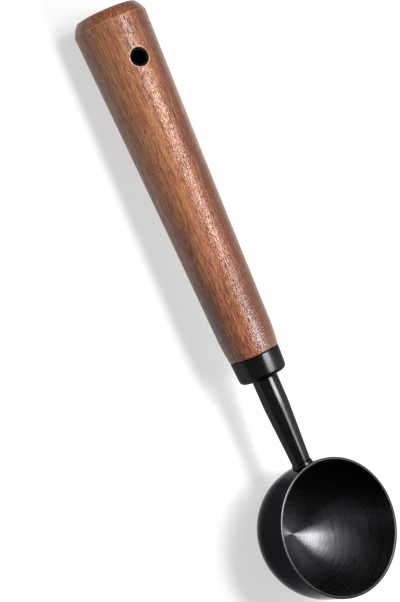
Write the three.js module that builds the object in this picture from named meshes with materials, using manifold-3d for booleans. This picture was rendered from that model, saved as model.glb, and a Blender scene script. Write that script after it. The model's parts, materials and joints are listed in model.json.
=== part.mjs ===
// A coffee scoop: a spun steel bowl, a turned neck welded to its wall, and a tapered hardwood
// handle that a hanger bolt draws down onto a steel ferrule.
//
// Millimetres. The pieces are drawn in the scoop's own frame: the bowl's rim lies in the plane
// z = 0 with its centre at the origin, and the handle leaves the bowl towards +X. The finished
// scoop is then laid on a table, opening up, on its bowl and on the end of its handle.

import * as THREE from 'three';
import { mergeVertices } from 'three/addons/utils/BufferGeometryUtils.js';
import Module from 'manifold-3d';

const wasm = await Module();
wasm.setup();

// Bowl
const BOWL_DIAMETER = 45;            // outside, at the rim
const BOWL_DEPTH = 28.7;             // outside, from the rim to the lowest point
const BOWL_COLLAR = 7.1;             // straight wall below the rim
const BOWL_WALL = 0.9;
const BOWL_FULLNESS = 2.2;           // 2 makes the round part an ellipse, more makes it fuller
const RIM_EASE = 0.2;                // broken edge on both sides of the rim

// Line of the handle
const HANDLE_RISE = THREE.MathUtils.degToRad(2.8);   // above the plane of the rim
const HANDLE_DROP = 4.5;              // axis below the rim where it meets the bowl's wall

// Neck and the weld at its foot
const NECK_LENGTH = 30.9;            // from the bowl's wall to the ferrule
const NECK_DIAMETER = 8.5;
const NECK_STRAIGHT = 9.3;           // untapered length under the ferrule
const NECK_FOOT_DIAMETER = 6.15;     // at the bowl's wall
const WELD_LEG = 1.5;                // reach of the bead along the neck
const WELD_TOE = 0.5;                // its width on the bowl's wall
const WELD_LEAST_TOE = 0.25;         // where the rim leaves less room
const WELD_BELOW_RIM = 0.3;
const WELD_CROWN = 0.35;             // outward bulge of its face, as a share of its depth

// Ferrule
const FERRULE_LENGTH = 7.8;
const FERRULE_DIAMETER = 16.6;       // at the wood
const FERRULE_FOOT_DIAMETER = 15.8;
const FERRULE_WALL = 1;
const FERRULE_BASE = 1.2;            // thickness of its floor
const FERRULE_EDGE = 1.7;            // rounding between its side and its floor

// Handle
const HANDLE_LENGTH = 116.8;         // wood in view, from the ferrule to the end face
const HANDLE_SHOULDER_LENGTH = 9;    // the wood rounds in over this length to meet the ferrule
const HANDLE_SHOULDER_DIAMETER = 18.2;
const HANDLE_END_DIAMETER = 24.15;
const HANDLE_HOLLOW = 0.17;          // dip of the side below a straight line, at mid length
const END_CHAMFER_LENGTH = 3.7;
const END_CHAMFER_DEPTH = 2.1;
const END_CHAMFER_CROWN = 0.35;      // bulge of the chamfer above a straight cone

// Hanging hole and the sleeve that lines it
const HOLE_FROM_END = 17.5;
const HOLE_TURN = THREE.MathUtils.degToRad(11.5);      // about the handle, away from the bowl's plane
const HOLE_EASE = 0.3;               // broken edge of the wood round the hole
const SLEEVE_DIAMETER = 5.4;
const SLEEVE_WALL = 0.5;

// Hanger bolt: machine thread in the neck, wood screw in the handle
const BOLT_DIAMETER = 5;
const BOLT_LENGTH = 48;
const BOLT_IN_NECK = 12;
const BOLT_CHAMFER = 0.6;
const BOLT_POINT_LENGTH = 6;
const BOLT_POINT_DIAMETER = 1.4;
const DRILL_POINT = THREE.MathUtils.degToRad(118);   // included angle at the end of drilled holes

const FIT_GAP = 0.3;                 // between any two pieces that seat on or in each other

// Fineness of the facets; the counts of a full turn are multiples of four
const BOWL_FACETS = 56;
const BOWL_STEPS = 12;
const HANDLE_FACETS = 48;
const NECK_FACETS = 32;
const BOLT_FACETS = 20;
const HOLE_FACETS = 24;
const WELD_STEPS = 36;
const CURVE_STEPS = 6;
const MERGE_DISTANCE = 1e-4;

// Finishes
const BLACK_STEEL = { color: 0x19191b, roughness: 0.28, metalness: 0.9 };
const BLACK_FERRULE = { color: 0x232325, roughness: 0.4, metalness: 0.85 };
const WELD_METAL = { color: 0x151516, roughness: 0.5, metalness: 0.8 };
const OILED_WOOD = { color: 0x8a5136, roughness: 0.55, metalness: 0 };
const ZINC_STEEL = { color: 0xb4b7ba, roughness: 0.4, metalness: 1 };

// Radii and stations along the handle's axis, counted from the bowl's wall
const bowlRadius = BOWL_DIAMETER / 2;
const neckRadius = NECK_DIAMETER / 2;
const neckFootRadius = NECK_FOOT_DIAMETER / 2;
const neckTaper = (neckRadius - neckFootRadius) / (NECK_LENGTH - NECK_STRAIGHT);
const ferruleFoot = NECK_LENGTH + FIT_GAP;
const ferruleTop = ferruleFoot + FERRULE_LENGTH;
const handleFoot = ferruleTop + FIT_GAP;
const handleShoulder = handleFoot + HANDLE_SHOULDER_LENGTH;
const handleEnd = handleFoot + HANDLE_LENGTH;
const handleWidest = handleEnd - END_CHAMFER_LENGTH;
const handleEndRadius = HANDLE_END_DIAMETER / 2;
const holeStation = handleEnd - HOLE_FROM_END;
const boltFoot = NECK_LENGTH - BOLT_IN_NECK;
const boltTop = boltFoot + BOLT_LENGTH;
const boltHoleRadius = BOLT_DIAMETER / 2 + FIT_GAP;
const drillPointLength = boltHoleRadius / Math.tan(DRILL_POINT / 2);
const drilledRadius = SLEEVE_DIAMETER / 2 + FIT_GAP;

// A body turned about +Z from a path of radius and height, traced with the metal on its left.
function revolve(path, facets) {
  return new THREE.LatheGeometry(path.getPoints(CURVE_STEPS), facets).rotateX(Math.PI / 2);
}

// A closed body through a row of loops with equal numbers of points. A ring joins its last loop to
// its first; any other row is capped at the first points of its two end loops.
function loft(loops, ring) {
  const size = loops[0].length;
  const total = loops.length * size;
  const last = total - size;
  const index = [];
  for (let start = 0; start < (ring ? total : last); start += size) {
    for (let point = 0; point < size; point++) {
      const here = start + point;
      const beside = start + (point + 1) % size;
      const ahead = (here + size) % total;
      index.push(here, beside, ahead, beside, (beside + size) % total, ahead);
    }
  }
  for (let point = 1; point < size - 1 && !ring; point++) {
    index.push(0, point + 1, point);
    index.push(last, last + point, last + point + 1);
  }
  const geometry = new THREE.BufferGeometry().setFromPoints(loops.flat());
  geometry.setIndex(index);
  return geometry;
}

// Takes a closed geometry into the solid modeller.
function toSolid(geometry) {
  const bare = geometry.clone();
  bare.deleteAttribute('normal');
  bare.deleteAttribute('uv');
  const merged = mergeVertices(bare, MERGE_DISTANCE);
  const corners = merged.index.array;
  const triangles = [];
  for (let corner = 0; corner < corners.length; corner += 3) {
    const triangle = Array.from(corners.slice(corner, corner + 3));
    if (new Set(triangle).size === 3) {
      triangles.push(...triangle);
    }
  }
  return new wasm.Manifold(new wasm.Mesh({
    numProp: 3,
    vertProperties: merged.getAttribute('position').array,
    triVerts: Uint32Array.from(triangles),
  }));
}

// The first geometry with the second cut out of it.
function cut(body, tool) {
  const mesh = toSolid(body).subtract(toSolid(tool)).getMesh();
  const geometry = new THREE.BufferGeometry();
  geometry.setAttribute('position', new THREE.BufferAttribute(mesh.vertProperties, 3));
  geometry.setIndex(new THREE.BufferAttribute(mesh.triVerts, 1));
  geometry.computeVertexNormals();
  return geometry;
}

function piece(name, geometry, finish) {
  const mesh = new THREE.Mesh(geometry, new THREE.MeshStandardMaterial(finish));
  mesh.name = name;
  return mesh;
}

// The round side of the bowl from its lowest point up to the collar, inset from the outside.
function bowlSide(inset) {
  const radius = bowlRadius - inset;
  const depth = BOWL_DEPTH - BOWL_COLLAR - inset;
  const power = 2 / BOWL_FULLNESS;
  const side = [];
  for (let step = 0; step <= BOWL_STEPS; step++) {
    const angle = (step / BOWL_STEPS) * (Math.PI / 2);
    const across = radius * Math.sin(angle) ** power;
    const down = depth * Math.cos(angle) ** power;
    side.push(new THREE.Vector2(across, -BOWL_COLLAR - down));
  }
  return side;
}

function bowl() {
  const innerRadius = bowlRadius - BOWL_WALL;
  const rim = new THREE.Path();
  rim.moveTo(bowlRadius, -RIM_EASE);
  rim.lineTo(bowlRadius - RIM_EASE, 0);
  rim.lineTo(innerRadius + RIM_EASE, 0);
  rim.lineTo(innerRadius, -RIM_EASE);
  const section = [...bowlSide(0), ...rim.getPoints(), ...bowlSide(BOWL_WALL).reverse()];
  return new THREE.LatheGeometry(section, BOWL_FACETS).rotateX(Math.PI / 2);
}

// Everything inside the bowl's outer wall, grown by the fit gap and carried up past the neck.
function bowlSpace() {
  const above = NECK_DIAMETER;
  const section = [
    ...bowlSide(-FIT_GAP),
    new THREE.Vector2(bowlRadius + FIT_GAP, above),
    new THREE.Vector2(0, above),
  ];
  return new THREE.LatheGeometry(section, BOWL_FACETS).rotateX(Math.PI / 2);
}

// The neck is a turned bar, tapped at the top for the bolt and coped at its foot to the bowl.
function neck(bowlTool) {
  const start = -NECK_FOOT_DIAMETER;
  const holeFoot = boltFoot - FIT_GAP;
  const section = new THREE.Path();
  section.moveTo(0, start);
  section.lineTo(neckFootRadius + neckTaper * start, start);
  section.lineTo(neckRadius, NECK_LENGTH - NECK_STRAIGHT);
  section.lineTo(neckRadius, NECK_LENGTH);
  section.lineTo(boltHoleRadius, NECK_LENGTH);
  section.lineTo(boltHoleRadius, holeFoot);
  section.lineTo(0, holeFoot - drillPointLength);
  return cut(revolve(section, NECK_FACETS), bowlTool);
}

// Station at which a line beside the handle's axis, at this radius and turn from the underside,
// comes within the fit gap of the bowl's collar.
function wallStation(radius, turn) {
  const sideways = radius * Math.sin(turn);
  const outward = Math.sqrt((bowlRadius + FIT_GAP) ** 2 - sideways ** 2);
  const lean = radius * Math.cos(turn) * Math.sin(HANDLE_RISE);
  return (outward - bowlRadius - lean) / Math.cos(HANDLE_RISE);
}

// A ring of weld along the saddle line where the neck meets the bowl, thinner on the wall where it
// passes under the rim.
function weldBead() {
  const root = neckFootRadius + FIT_GAP;
  const wallAbove = (HANDLE_DROP - WELD_BELOW_RIM) / Math.cos(HANDLE_RISE);
  const loops = [];
  for (let step = 0; step < WELD_STEPS; step++) {
    const turn = (step / WELD_STEPS) * 2 * Math.PI;
    const climb = Math.max(-Math.cos(turn), Number.EPSILON);
    const toe = THREE.MathUtils.clamp(wallAbove / climb - root, WELD_LEAST_TOE, WELD_TOE);
    const at = (radius, station) => new THREE.Vector3(
      radius * Math.cos(turn), radius * Math.sin(turn), station);
    const rootStation = wallStation(root, turn);
    const neckStation = rootStation + WELD_LEG;
    const inner = at(root + neckTaper * rootStation, rootStation);
    const wallToe = at(root + toe, wallStation(root + toe, turn));
    const neckToe = at(root + neckTaper * neckStation, neckStation);
    const pull = wallToe.clone().add(neckToe).multiplyScalar(0.5).lerp(inner, -WELD_CROWN);
    const face = new THREE.QuadraticBezierCurve3(neckToe, pull, wallToe);
    loops.push([inner, ...face.getPoints(CURVE_STEPS)]);
  }
  return loft(loops, true);
}

// A drawn cup with the bolt hole in its floor.
function ferrule() {
  const foot = FERRULE_FOOT_DIAMETER / 2;
  const top = FERRULE_DIAMETER / 2;
  const edgeTop = foot + (top - foot) * (FERRULE_EDGE / FERRULE_LENGTH);
  const section = new THREE.Path();
  section.moveTo(boltHoleRadius, ferruleFoot);
  section.lineTo(foot - FERRULE_EDGE, ferruleFoot);
  section.quadraticCurveTo(foot, ferruleFoot, edgeTop, ferruleFoot + FERRULE_EDGE);
  section.lineTo(top, ferruleTop);
  section.lineTo(top - FERRULE_WALL, ferruleTop);
  section.lineTo(ferruleBore(ferruleFoot + FERRULE_BASE), ferruleFoot + FERRULE_BASE);
  section.lineTo(boltHoleRadius, ferruleFoot + FERRULE_BASE);
  section.closePath();
  return revolve(section, HANDLE_FACETS);
}

// Inside radius of the ferrule at a station.
function ferruleBore(station) {
  const along = (station - ferruleFoot) / FERRULE_LENGTH;
  const foot = FERRULE_FOOT_DIAMETER / 2;
  return foot + (FERRULE_DIAMETER / 2 - foot) * along - FERRULE_WALL;
}

// Radius of the handle's long side, a shallow hollow curve from the shoulder to the widest point.
function handleRadius(station) {
  const along = (station - handleShoulder) / (handleWidest - handleShoulder);
  const straight = THREE.MathUtils.lerp(HANDLE_SHOULDER_DIAMETER, HANDLE_END_DIAMETER, along) / 2;
  return straight - 4 * HANDLE_HOLLOW * along * (1 - along);
}

// Control point that crowns the chamfer round the handle's end.
function endChamferPull() {
  const slant = Math.hypot(END_CHAMFER_LENGTH, END_CHAMFER_DEPTH);
  const radius = handleEndRadius - END_CHAMFER_DEPTH / 2;
  const station = handleEnd - END_CHAMFER_LENGTH / 2;
  const pull = 2 * END_CHAMFER_CROWN / slant;
  return [radius + pull * END_CHAMFER_LENGTH, station + pull * END_CHAMFER_DEPTH];
}

// The turned handle: a tenon for the ferrule, a blind hole for the bolt, and the hanging hole.
function handle(holeTool) {
  const tenonFoot = ferruleFoot + FERRULE_BASE + FIT_GAP;
  const boreTop = boltTop + FIT_GAP;
  const shoulderRadius = HANDLE_SHOULDER_DIAMETER / 2;
  const sideMiddle = (handleShoulder + handleWidest) / 2;
  const sidePull = (shoulderRadius + handleEndRadius) / 2 - 2 * HANDLE_HOLLOW;
  const sideSlope = (sidePull - shoulderRadius) / (sideMiddle - handleShoulder);
  const shoulderMiddle = (handleFoot + handleShoulder) / 2;
  const shoulderPull = shoulderRadius - sideSlope * (handleShoulder - shoulderMiddle);
  const section = new THREE.Path();
  section.moveTo(0, boreTop + drillPointLength);
  section.lineTo(boltHoleRadius, boreTop);
  section.lineTo(boltHoleRadius, tenonFoot);
  section.lineTo(ferruleBore(tenonFoot) - FIT_GAP, tenonFoot);
  section.lineTo(ferruleBore(handleFoot) - FIT_GAP, handleFoot);
  section.lineTo(FERRULE_DIAMETER / 2, handleFoot);
  section.quadraticCurveTo(shoulderPull, shoulderMiddle, shoulderRadius, handleShoulder);
  section.quadraticCurveTo(sidePull, sideMiddle, handleEndRadius, handleWidest);
  section.quadraticCurveTo(...endChamferPull(), handleEndRadius - END_CHAMFER_DEPTH, handleEnd);
  section.lineTo(0, handleEnd);
  return cut(revolve(section, HANDLE_FACETS), holeTool);
}

// Height of the handle's surface above its axis, seen from the hanging hole's own axis.
function surfaceHeight(radius, turn) {
  const round = handleRadius(holeStation + radius * Math.cos(turn));
  return Math.sqrt(round ** 2 - (radius * Math.sin(turn)) ** 2);
}

// The drill for the hanging hole, flared at both mouths to break the edge of the round handle.
function hangingHole() {
  const flare = drilledRadius + 2 * HOLE_EASE;
  const loop = (side, radius, above) => Array.from({ length: HOLE_FACETS }, (_, facet) => {
    const turn = (facet / HOLE_FACETS) * 2 * Math.PI;
    const height = side * (surfaceHeight(radius, turn) + above);
    return new THREE.Vector3(radius * Math.cos(turn), radius * Math.sin(turn), height);
  });
  return loft([
    loop(-1, flare, HOLE_EASE),
    loop(-1, drilledRadius, -HOLE_EASE),
    loop(1, drilledRadius, -HOLE_EASE),
    loop(1, flare, HOLE_EASE),
  ], false);
}

// A plain tube in the hanging hole, cut square just below the flared mouths.
function holeSleeve() {
  const outer = SLEEVE_DIAMETER / 2;
  const inner = outer - SLEEVE_WALL;
  const half = surfaceHeight(drilledRadius, Math.PI / 2) - HOLE_EASE;
  const section = new THREE.Path();
  section.moveTo(inner, -half);
  section.lineTo(outer, -half);
  section.lineTo(outer, half);
  section.lineTo(inner, half);
  section.closePath();
  return revolve(section, HOLE_FACETS);
}

function hangerBolt() {
  const radius = BOLT_DIAMETER / 2;
  const section = new THREE.Path();
  section.moveTo(0, boltFoot);
  section.lineTo(radius - BOLT_CHAMFER, boltFoot);
  section.lineTo(radius, boltFoot + BOLT_CHAMFER);
  section.lineTo(radius, boltTop - BOLT_POINT_LENGTH);
  section.lineTo(BOLT_POINT_DIAMETER / 2, boltTop);
  section.lineTo(0, boltTop);
  return revolve(section, BOLT_FACETS);
}

// The handle's axis is the local +Z of this group, with local +X towards the underside.
const handleAxis = new THREE.Group();
handleAxis.position.set(bowlRadius, 0, -HANDLE_DROP);
handleAxis.rotation.y = Math.PI / 2 - HANDLE_RISE;
handleAxis.updateMatrix();

// The hanging hole's axis is the local +Z of this group, with local +X along the handle.
const holeAxis = new THREE.Group();
holeAxis.position.z = holeStation;
holeAxis.rotation.set(0, -Math.PI / 2, -HOLE_TURN, 'ZYX');
holeAxis.updateMatrix();

const bowlTool = bowlSpace().applyMatrix4(handleAxis.matrix.clone().invert());
const holeTool = hangingHole().applyMatrix4(holeAxis.matrix);

holeAxis.add(piece('hole_sleeve', holeSleeve(), BLACK_STEEL));
handleAxis.add(
  piece('neck', neck(bowlTool), BLACK_STEEL),
  piece('neck_weld', weldBead(), WELD_METAL),
  piece('ferrule', ferrule(), BLACK_FERRULE),
  piece('hanger_bolt', hangerBolt(), ZINC_STEEL),
  piece('handle', handle(holeTool), OILED_WOOD),
  holeAxis,
);

const scoop = new THREE.Group();
scoop.add(piece('scoop_bowl', bowl(), BLACK_STEEL), handleAxis);

// Laid on a table, the scoop tips back until the underside of the handle's widest ring, its heel,
// comes down to the ground line that touches the bowl.
const heel = new THREE.Vector3(handleEndRadius, 0, handleWidest).applyMatrix4(handleAxis.matrix);
const grounds = bowlSide(0).map((point) => Math.atan2(heel.z - point.y, heel.x - point.x));
scoop.rotation.y = Math.max(...grounds);

// The origin is on the table, under the middle of the scoop.
const box = new THREE.Box3().setFromObject(scoop, true);
const middle = box.getCenter(new THREE.Vector3());
scoop.position.set(-middle.x, -middle.y, -box.min.z);

export default scoop;
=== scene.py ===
"""The looks of a coffee scoop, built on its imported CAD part.

The bowl is spun and the neck turned from steel with a thin black coat, and the neck is welded to
the bowl. A hanger bolt holds a steel ferrule and a turned, oiled hardwood handle to the neck, and
a steel sleeve lines the hole that the handle hangs by.

Each piece is rebuilt as a finer mesh in the place of its CAD node. Lengths are millimetres until
a mesh, a lamp or the camera is made, which take metres.
"""

import json
import logging
import math
from collections.abc import Callable, Iterable, Mapping, Sequence
from dataclasses import dataclass, field
from enum import Enum
from typing import Any

import bpy
import numpy as np
from mathutils import Matrix, Vector


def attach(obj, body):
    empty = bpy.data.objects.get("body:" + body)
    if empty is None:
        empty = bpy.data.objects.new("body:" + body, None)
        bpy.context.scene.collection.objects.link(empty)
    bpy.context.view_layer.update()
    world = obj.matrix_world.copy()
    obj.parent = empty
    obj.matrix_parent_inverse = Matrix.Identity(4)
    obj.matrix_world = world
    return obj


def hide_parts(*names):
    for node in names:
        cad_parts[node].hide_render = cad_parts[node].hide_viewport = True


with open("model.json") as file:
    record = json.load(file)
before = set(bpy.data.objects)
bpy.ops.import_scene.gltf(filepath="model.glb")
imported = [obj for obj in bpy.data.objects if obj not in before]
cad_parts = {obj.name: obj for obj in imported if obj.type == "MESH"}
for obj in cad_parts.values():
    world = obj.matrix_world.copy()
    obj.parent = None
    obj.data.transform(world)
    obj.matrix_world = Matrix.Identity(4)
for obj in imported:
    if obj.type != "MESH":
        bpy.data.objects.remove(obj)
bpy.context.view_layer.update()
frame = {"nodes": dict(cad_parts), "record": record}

log = logging.getLogger("coffee_scoop")

Point = tuple[float, float, float]
Pair = tuple[float, float]
Profile = list[Pair]

MM = 0.001                     # metres in a millimetre
BODY = "root"                  # the part's one rigid body
OWN_AXES = "own_axes"          # mesh attribute: each corner in its piece's own axes, in metres
AROUND = "around"              # UV map whose U runs round a turned piece
CREASE = math.radians(40)      # edges bent more than this stay sharp
HOLD = 0.2                     # distance from an eased edge of the ring that keeps its band flat
ON_AXIS = 1e-6                 # corners nearer to the axis than this have no angle of their own


def linear(colour: str) -> tuple[float, float, float, float]:
    """Turns an sRGB colour into the linear one that a shader takes.

    Args:
        colour: The colour as "#rrggbb".

    Returns:
        Linear red, green, blue and an alpha of 1.
    """
    levels = [int(colour[at:at + 2], 16) / 255 for at in (1, 3, 5)]
    red, green, blue = (
        level / 12.92 if level <= 0.04045 else ((level + 0.055) / 1.055) ** 2.4
        for level in levels
    )
    return red, green, blue, 1.0


def per_mm(size: float) -> float:
    """Texture scale at which one cell of a pattern measures this many millimetres."""
    return 1 / (size * MM)


def add_node(
    tree: bpy.types.NodeTree,
    kind: str,
    settings: Mapping[str, Any] | None = None,
    inputs: Mapping[str | int, Any] | None = None,
    stops: Sequence[tuple[float, str]] = (),
) -> bpy.types.Node:
    """Adds a shader node with its settings and links.

    Args:
        tree: Node tree that takes the node.
        kind: Type of the node, without the ShaderNode in front.
        settings: Values of the node's own properties.
        inputs: For each input, the socket that feeds it or its constant value.
        stops: Places and sRGB colours along a colour ramp.

    Returns:
        The new node.
    """
    node = tree.nodes.new("ShaderNode" + kind)
    for name, value in (settings or {}).items():
        setattr(node, name, value)
    for name, value in (inputs or {}).items():
        if isinstance(value, bpy.types.NodeSocket):
            tree.links.new(value, node.inputs[name])
        else:
            node.inputs[name].default_value = value
    for number, (place, colour) in enumerate(stops):
        elements = node.color_ramp.elements
        element = elements[number] if number < 2 else elements.new(place)
        element.position = place
        element.color = linear(colour)
    return node


def polar(radius: float, turn: float, height: float) -> Point:
    """Point at a radius, an angle round local Z and a height."""
    return radius * math.cos(turn), radius * math.sin(turn), height


def full_turn(facets: int) -> list[float]:
    """Angles that divide a full turn evenly, from 0 on."""
    return [2 * math.pi * facet / facets for facet in range(facets)]


@dataclass(frozen=True)
class Axis:
    """A straight line through the scoop, in the row frame and in millimetres.

    Attributes:
        origin: Point from which stations along the line are counted.
        along: Unit direction of the line.
        side: Unit direction square to the line.
    """

    origin: Vector
    along: Vector
    side: Vector

    def matrix(self) -> Matrix:
        """Takes local points to the row frame: Z runs along the line and X to the side."""
        across = self.along.cross(self.side)
        turn = Matrix((self.side, across, self.along)).transposed().to_4x4()
        return Matrix.Translation(self.origin) @ turn

    def stations(self, node: str) -> tuple[float, float]:
        """Finds where a CAD node starts and ends along the line.

        Args:
            node: Name of the CAD node.

        Returns:
            Its lowest and highest station.
        """
        heights = (corners_of(node) - np.array(self.origin)) @ np.array(self.along)
        return float(heights.min()), float(heights.max())

    def reach(self, node: str) -> float:
        """Finds the radius of a CAD node about the line.

        Args:
            node: Name of the CAD node.

        Returns:
            The largest distance of its corners from the line.
        """
        offsets = corners_of(node) - np.array(self.origin)
        away = np.cross(offsets, np.array(self.along))
        return float(np.linalg.norm(away, axis=1).max())


def corners_of(node: str) -> np.ndarray:
    """Reads the corners of a CAD node.

    Args:
        node: Name of the CAD node.

    Returns:
        One row of x, y and z in millimetres for each corner.
    """
    vertices = frame["nodes"][node].data.vertices
    flat = np.empty(3 * len(vertices), np.float32)
    vertices.foreach_get("co", flat)
    return flat.reshape(-1, 3).astype(float) / MM


def middle_of(node: str) -> Vector:
    """Middle of a CAD node that is turned about an axis, which is a point of that axis."""
    return Vector(corners_of(node).mean(axis=0))


class Layout:
    """The scoop's own axes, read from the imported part.

    Attributes:
        bowl: Up through the bowl, from the centre of its rim; the handle is on its side.
        handle: Along the handle, from the bowl's wall; the bowl's opening is on its side.
        hole: Through the hanging hole, from the middle of the handle.
    """

    HANDLE_RISE = math.radians(2.8)   # of the handle above the plane of the rim

    def __init__(self) -> None:
        """Reads the axes from the record's mount and from the turned CAD nodes."""
        mounts = {mount["name"]: mount for mount in frame["record"]["mounts"]}
        along = Vector(mounts["handle_end"]["axis"]).normalized()
        top = Vector((-along.z, 0, along.x))
        rise, run = math.sin(self.HANDLE_RISE), math.cos(self.HANDLE_RISE)
        opening = top * run + along * rise
        inside = Axis(middle_of("scoop_bowl"), opening, along * run - top * rise)
        self.bowl = Axis(
            inside.origin + opening * inside.stations("scoop_bowl")[1], opening, inside.side
        )
        handle = Axis(middle_of("ferrule"), along, top)
        start = wall_station(self.bowl, handle, 0, 0)
        self.handle = Axis(handle.origin + along * start, along, top)
        centre = middle_of("hole_sleeve")
        _, _, spread = np.linalg.svd(corners_of("hole_sleeve") - np.array(centre))
        through = Vector(spread[0])
        self.hole = Axis(centre, through * math.copysign(1, through.z), along)


def wall_station(bowl: Axis, handle: Axis, radius: float, turn: float) -> float:
    """Finds where a line beside the handle's axis meets the outside of the bowl's collar.

    Args:
        bowl: Axis of the bowl.
        handle: Axis of the handle.
        radius: Distance of the line from the handle's axis.
        turn: Angle of the line round the handle's axis.

    Returns:
        The station along the handle's axis.
    """
    aside = handle.matrix() @ Vector(polar(radius, turn, 0))
    offset = aside - bowl.origin
    flat = offset - bowl.along * offset.dot(bowl.along)
    step = handle.along - bowl.along * handle.along.dot(bowl.along)
    half = flat.dot(step) / step.length_squared
    rest = (flat.length_squared - bowl.reach("scoop_bowl") ** 2) / step.length_squared
    return math.sqrt(half * half - rest) - half


@dataclass
class Shape:
    """A mesh in the making, in a piece's own axes and in millimetres.

    Attributes:
        corners: Corner points.
        faces: Corner numbers of each face, counter-clockwise seen from outside.
        coats: For each face, the number of its finish.
    """

    corners: list[Point] = field(default_factory=list)
    faces: list[tuple[int, ...]] = field(default_factory=list)
    coats: list[int] = field(default_factory=list)

    def ring(self, points: Iterable[Sequence[float]]) -> list[int]:
        """Adds a row of corners.

        Args:
            points: The corners' places.

        Returns:
            The corners' numbers.
        """
        start = len(self.corners)
        self.corners.extend((x, y, z) for x, y, z in points)
        return list(range(start, len(self.corners)))

    def circle(self, radius: float, height: float, turns: Sequence[float]) -> list[int]:
        """Adds a ring about Z, or a single corner where the radius is zero.

        Args:
            radius: Radius of the ring.
            height: Height of the ring.
            turns: Angles of its corners.

        Returns:
            The corners' numbers.
        """
        kept = turns if radius > 0 else turns[:1]
        return self.ring(polar(radius, turn, height) for turn in kept)

    def face(self, corners: Sequence[int], coat: int = 0) -> None:
        """Adds one face with a finish."""
        self.faces.append(tuple(corners))
        self.coats.append(coat)

    def band(self, first: list[int], second: list[int], coat: int = 0) -> None:
        """Closes the gap between two rings, either of which may be a single point.

        Args:
            first: Ring with the faces on its left, seen from outside.
            second: Ring on the other side of the band.
            coat: Number of the band's finish.
        """
        for at in range(max(len(first), len(second))):
            after = at + 1
            loop = [
                first[at % len(first)],
                first[after % len(first)],
                second[after % len(second)],
                second[at % len(second)],
            ]
            self.face(list(dict.fromkeys(loop)), coat)


def revolve(
    profile: Profile, facets: int, coat: Callable[[int], int] = lambda row: 0, closed: bool = False
) -> Shape:
    """Turns a profile about local Z.

    Args:
        profile: Radius and height of each point, traced with the material on its left.
        facets: Number of facets in a full turn.
        coat: Gives the finish of the band that follows a point of the profile.
        closed: Whether the last point joins the first.

    Returns:
        The turned shape.
    """
    shape = Shape()
    turns = full_turn(facets)
    rings = [shape.circle(radius, height, turns) for radius, height in profile]
    for row, (first, second) in enumerate(zip(rings, rings[1:] + rings[:1])):
        if closed or row < len(rings) - 1:
            shape.band(first, second, coat(row))
    return shape


def bend(start: Pair, pull: Pair, end: Pair, steps: int) -> Profile:
    """Draws a quadratic curve in a profile.

    Args:
        start: First point.
        pull: Point that the curve is drawn towards.
        end: Last point.
        steps: Number of straight steps.

    Returns:
        The points of the curve, with both ends.
    """
    points = []
    for step in range(steps + 1):
        t = step / steps
        points.append(tuple(
            (1 - t) ** 2 * a + 2 * t * (1 - t) * b + t * t * c
            for a, b, c in zip(start, pull, end)
        ))
    return points


def eased(corner: Pair, before: Pair, after: Pair, ease: float, steps: int = 4) -> Profile:
    """Rounds a corner of a profile.

    Args:
        corner: The corner's radius and height.
        before: Point before it.
        after: Point after it.
        ease: Length cut from each side of the corner.
        steps: Number of straight steps round it.

    Returns:
        The points that take the corner's place.
    """
    at = Vector(corner)
    start = at + (Vector(before) - at).normalized() * ease
    end = at + (Vector(after) - at).normalized() * ease
    return bend(tuple(start), corner, tuple(end), steps)


def make_piece(
    shape: Shape,
    name: str,
    node: str,
    axis: Axis,
    finishes: Sequence["Finish"],
) -> bpy.types.Object:
    """Makes a piece of the scoop in the place of its CAD node.

    Args:
        shape: The piece in its own axes.
        name: Name of the piece.
        node: CAD node that it stands for.
        axis: Axis that the shape was drawn on.
        finishes: Finishes by their numbers in the shape.

    Returns:
        The new object.
    """
    place = axis.matrix()
    mesh = bpy.data.meshes.new(name)
    mesh.from_pydata([place @ Vector(corner) * MM for corner in shape.corners], [], shape.faces)
    mesh.polygons.foreach_set("material_index", shape.coats)
    mesh.shade_smooth()
    mesh.set_sharp_from_angle(angle=CREASE)
    own = mesh.attributes.new(OWN_AXES, "FLOAT_VECTOR", "POINT")
    own.data.foreach_set("vector", (np.array(shape.corners, float) * MM).ravel())
    wrap_round(mesh, shape)
    for finish in finishes:
        mesh.materials.append(finish.material())
    piece = bpy.data.objects.new(name, mesh)
    bpy.context.scene.collection.objects.link(piece)
    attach(piece, BODY)
    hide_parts(node)
    log.info("%s stands for %s: %d faces", name, node, len(shape.faces))
    return piece


def wrap_round(mesh: bpy.types.Mesh, shape: Shape) -> None:
    """Gives a mesh a UV map with U round its own Z axis and V along it.

    Args:
        mesh: Mesh made from the shape.
        shape: The shape, whose faces the mesh has in the same order.
    """
    layer = mesh.uv_layers.new(name=AROUND)
    places = []
    for face in shape.faces:
        corners = [shape.corners[corner] for corner in face]
        middle = math.atan2(sum(c[1] for c in corners), sum(c[0] for c in corners))
        for x, y, z in corners:
            turn = math.atan2(y, x) if math.hypot(x, y) > ON_AXIS else middle
            turn += 2 * math.pi * round((middle - turn) / (2 * math.pi))
            places.extend((turn / (2 * math.pi), (z + math.hypot(x, y)) * MM))
    layer.data.foreach_set("uv", places)


class Marks(Enum):
    """Which way the marks of working a metal run."""

    ROUND = "round the axis, from spinning or turning"
    LENGTHWISE = "along the axis, from drawing and polishing"


@dataclass(frozen=True)
class Finish:
    """A surface as its maker left it.

    Attributes:
        name: What the material is and how its surface was made.
    """

    name: str

    def shader(self, tree: bpy.types.NodeTree) -> bpy.types.Node:
        """Adds the nodes of the finish and returns its shader."""
        raise NotImplementedError

    def material(self) -> bpy.types.Material:
        """Makes the finish, or finds the one already made.

        Returns:
            The Blender material.
        """
        known = bpy.data.materials.get(self.name)
        if known:
            return known
        material = bpy.data.materials.new(self.name)
        material.use_nodes = True
        tree = material.node_tree
        tree.nodes.clear()
        shader = self.shader(tree)
        add_node(tree, "OutputMaterial", inputs={"Surface": shader.outputs[0]})
        return material


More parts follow.
